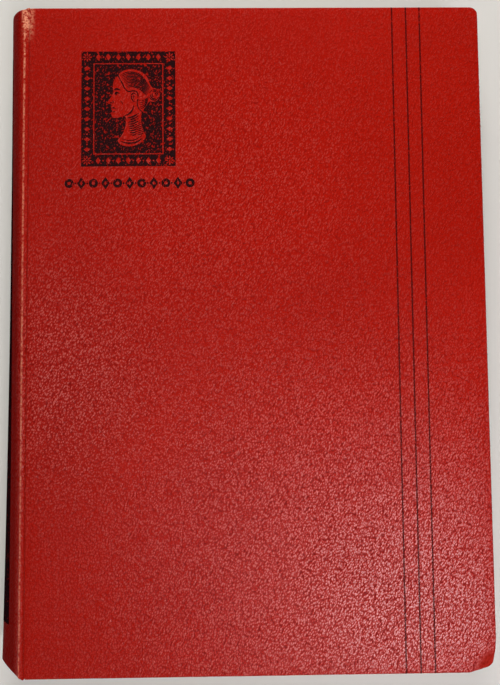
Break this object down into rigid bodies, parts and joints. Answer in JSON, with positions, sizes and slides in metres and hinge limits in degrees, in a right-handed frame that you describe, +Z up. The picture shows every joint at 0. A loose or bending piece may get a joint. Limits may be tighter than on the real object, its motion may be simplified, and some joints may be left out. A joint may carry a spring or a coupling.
{
  "type": "stamp album",
  "caption": "Case-bound stamp album with a rounded spine, hinged covers and card leaves with rows of clear stamp pockets.",
  "frame": {"origin": "on the table, at the middle of the closed album's underside", "axes": "+Z up out of the front cover, +Y towards the head, +X from the spine towards the fore-edge; the album lies closed on its back cover"},
  "size_m": [0.2364, 0.325, 0.024],
  "materials": {
    "leathercloth": "grained red leathercloth, semi-gloss",
    "grey_board": "matte grey board",
    "endpaper": "matte uncoated cream paper",
    "spine_card": "matte brown card",
    "linen": "plain-woven linen",
    "band_cotton": "striped cotton band",
    "leaf_card": "smooth matte cream card",
    "pocket_film": "clear glossy film",
    "glassine": "translucent glazed paper",
    "block_ink": "black blocking foil"
  },
  "bodies": {
    "back_cover": {"back_board": "grey_board", "back_cover_cloth": "leathercloth", "back_pastedown": "endpaper"},
    "spine": {"spine_card": "spine_card", "spine_cloth": "leathercloth", "spine_lining": "linen", "headband": "band_cotton", "tailband": "band_cotton"},
    "front_cover": {"front_board": "grey_board", "front_cover_cloth": "leathercloth", "front_pastedown": "endpaper"},
    "front_flyleaf": {"front_flyleaf": "endpaper"},
    "leaf_1": {"leaf_1_card": "leaf_card", "leaf_1_guard": "linen", "leaf_1_recto_pockets": "pocket_film", "leaf_1_verso_pockets": "pocket_film", "leaf_1_interleaf": "glassine"},
    "leaf_2": {"leaf_2_card": "leaf_card", "leaf_2_guard": "linen", "leaf_2_recto_pockets": "pocket_film", "leaf_2_verso_pockets": "pocket_film", "leaf_2_interleaf": "glassine"},
    "leaf_3": {"leaf_3_card": "leaf_card", "leaf_3_guard": "linen", "leaf_3_recto_pockets": "pocket_film", "leaf_3_verso_pockets": "pocket_film", "leaf_3_interleaf": "glassine"},
    "leaf_4": {"leaf_4_card": "leaf_card", "leaf_4_guard": "linen", "leaf_4_recto_pockets": "pocket_film", "leaf_4_verso_pockets": "pocket_film", "leaf_4_interleaf": "glassine"},
    "leaf_5": {"leaf_5_card": "leaf_card", "leaf_5_guard": "linen", "leaf_5_recto_pockets": "pocket_film", "leaf_5_verso_pockets": "pocket_film", "leaf_5_interleaf": "glassine"},
    "leaf_6": {"leaf_6_card": "leaf_card", "leaf_6_guard": "linen", "leaf_6_recto_pockets": "pocket_film", "leaf_6_verso_pockets": "pocket_film", "leaf_6_interleaf": "glassine"},
    "leaf_7": {"leaf_7_card": "leaf_card", "leaf_7_guard": "linen", "leaf_7_recto_pockets": "pocket_film", "leaf_7_verso_pockets": "pocket_film", "leaf_7_interleaf": "glassine"},
    "leaf_8": {"leaf_8_card": "leaf_card", "leaf_8_guard": "linen", "leaf_8_recto_pockets": "pocket_film", "leaf_8_verso_pockets": "pocket_film", "leaf_8_interleaf": "glassine"},
    "back_flyleaf": {"back_flyleaf": "endpaper"}
  },
  "joints": [
    {"name": "spine_opening", "type": "hinge", "parent": "back_cover", "child": "spine", "pos_m": [-0.10595, 0, 0.0015], "axis": [0, -1, 0], "range_deg": [0, 90], "deforming": ["spine_card", "spine_cloth"]},
    {"name": "front_cover_opening", "type": "hinge", "parent": "spine", "child": "front_cover", "pos_m": [-0.10595, 0, 0.0225], "axis": [0, -1, 0], "range_deg": [0, 90]},
    {"name": "front_flyleaf_turn", "type": "hinge", "parent": "spine", "child": "front_flyleaf", "pos_m": [-0.10335, 0, 0.01975], "axis": [0, -1, 0], "range_deg": [0, 86]},
    {"name": "leaf_1_turn", "type": "hinge", "parent": "spine", "child": "leaf_1", "pos_m": [-0.10335, 0, 0.01865], "axis": [0, -1, 0], "range_deg": [0, 81.5]},
    {"name": "leaf_2_turn", "type": "hinge", "parent": "spine", "child": "leaf_2", "pos_m": [-0.10335, 0, 0.01675], "axis": [0, -1, 0], "range_deg": [0, 76.55]},
    {"name": "leaf_3_turn", "type": "hinge", "parent": "spine", "child": "leaf_3", "pos_m": [-0.10335, 0, 0.01485], "axis": [0, -1, 0], "range_deg": [0, 71.6]},
    {"name": "leaf_4_turn", "type": "hinge", "parent": "spine", "child": "leaf_4", "pos_m": [-0.10335, 0, 0.01295], "axis": [0, -1, 0], "range_deg": [0, 66.65]},
    {"name": "leaf_5_turn", "type": "hinge", "parent": "spine", "child": "leaf_5", "pos_m": [-0.10335, 0, 0.01105], "axis": [0, -1, 0], "range_deg": [-66.65, 0]},
    {"name": "leaf_6_turn", "type": "hinge", "parent": "spine", "child": "leaf_6", "pos_m": [-0.10335, 0, 0.00915], "axis": [0, -1, 0], "range_deg": [-71.6, 0]},
    {"name": "leaf_7_turn", "type": "hinge", "parent": "spine", "child": "leaf_7", "pos_m": [-0.10335, 0, 0.00725], "axis": [0, -1, 0], "range_deg": [-76.55, 0]},
    {"name": "leaf_8_turn", "type": "hinge", "parent": "spine", "child": "leaf_8", "pos_m": [-0.10335, 0, 0.00535], "axis": [0, -1, 0], "range_deg": [-81.5, 0]},
    {"name": "back_flyleaf_turn", "type": "hinge", "parent": "spine", "child": "back_flyleaf", "pos_m": [-0.10335, 0, 0.00425], "axis": [0, -1, 0], "range_deg": [-86, 0]}
  ],
  "couplings": [
    {"joint": "front_cover_opening", "follows": "spine_opening", "ratio": 1},
    {"joint": "front_flyleaf_turn", "follows": "spine_opening", "ratio": 0.95},
    {"joint": "leaf_1_turn", "follows": "spine_opening", "ratio": 0.9},
    {"joint": "leaf_2_turn", "follows": "spine_opening", "ratio": 0.845},
    {"joint": "leaf_3_turn", "follows": "spine_opening", "ratio": 0.79},
    {"joint": "leaf_4_turn", "follows": "spine_opening", "ratio": 0.735},
    {"joint": "leaf_5_turn", "follows": "spine_opening", "ratio": -0.735},
    {"joint": "leaf_6_turn", "follows": "spine_opening", "ratio": -0.79},
    {"joint": "leaf_7_turn", "follows": "spine_opening", "ratio": -0.845},
    {"joint": "leaf_8_turn", "follows": "spine_opening", "ratio": -0.9},
    {"joint": "back_flyleaf_turn", "follows": "spine_opening", "ratio": -0.95}
  ]
}
